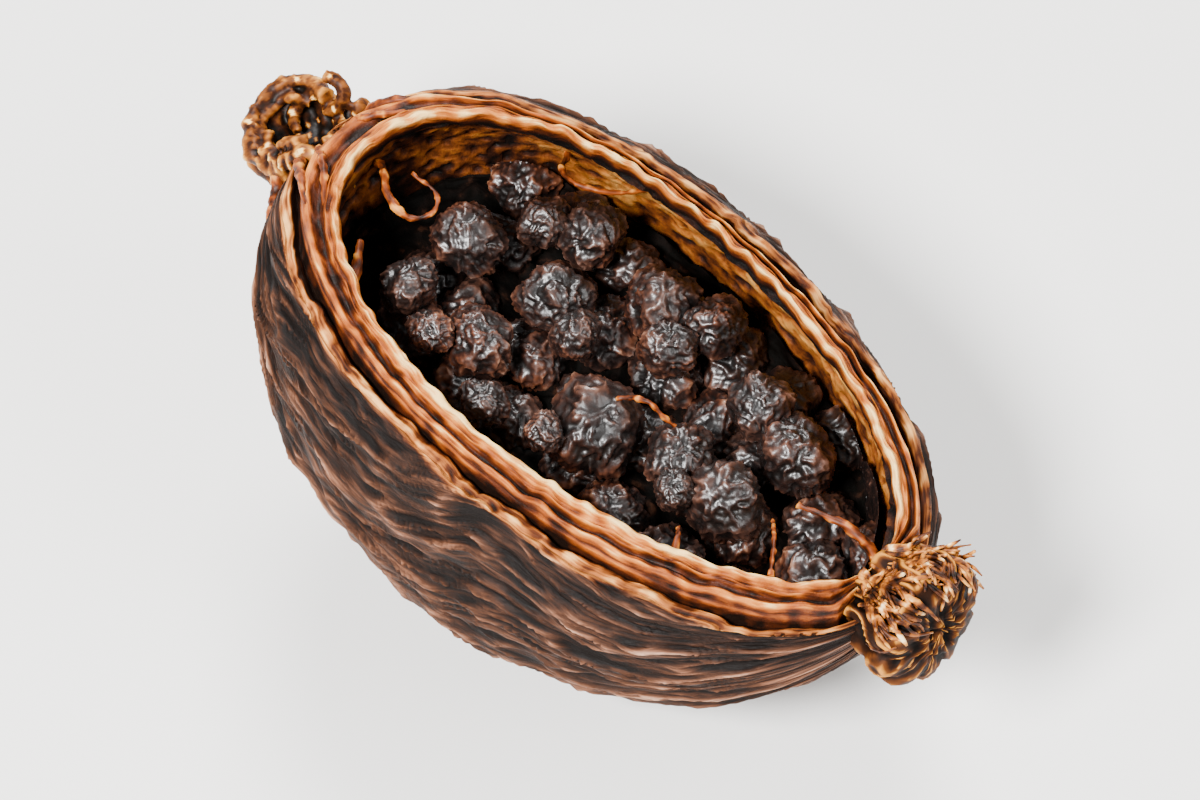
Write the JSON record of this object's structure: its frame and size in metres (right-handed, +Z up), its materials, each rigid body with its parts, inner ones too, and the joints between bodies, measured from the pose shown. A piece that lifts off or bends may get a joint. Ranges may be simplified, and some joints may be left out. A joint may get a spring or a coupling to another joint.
{
  "type": "split black cardamom pod",
  "caption": "Dried black cardamom pod split open along the top: ribbed brown husk, tan waved lip and lining, dark wrinkled seeds inside, calyx crown and stalk knob at the ends.",
  "frame": {"origin": "on the flat spot the pod rests on, under the middle of the body between the two necks", "axes": "+Z up out of the opening, +X along the pod from the calyx crown to the stalk knob, +Y to the pod's left"},
  "size_m": [0.0409, 0.022, 0.019],
  "materials": {
    "rind": "dry ribbed fibrous dark brown rind, matt",
    "lining": "dry fibrous tan tissue, matt, paler along the lip",
    "seed": "wrinkled near-black seeds and dried pulp with a sticky gloss"
  },
  "bodies": {
    "root": {"husk": "rind", "lining": "lining", "seed_mass": "seed", "seed_clump_1": "seed", "seed_clump_2": "seed", "seed_clump_3": "seed", "seed_clump_4": "seed", "seed_clump_5": "seed", "seed_clump_6": "seed", "seed_clump_7": "seed", "seed_clump_8": "seed", "seed_clump_9": "seed", "seed_clump_10": "seed"}
  },
  "joints": []
}
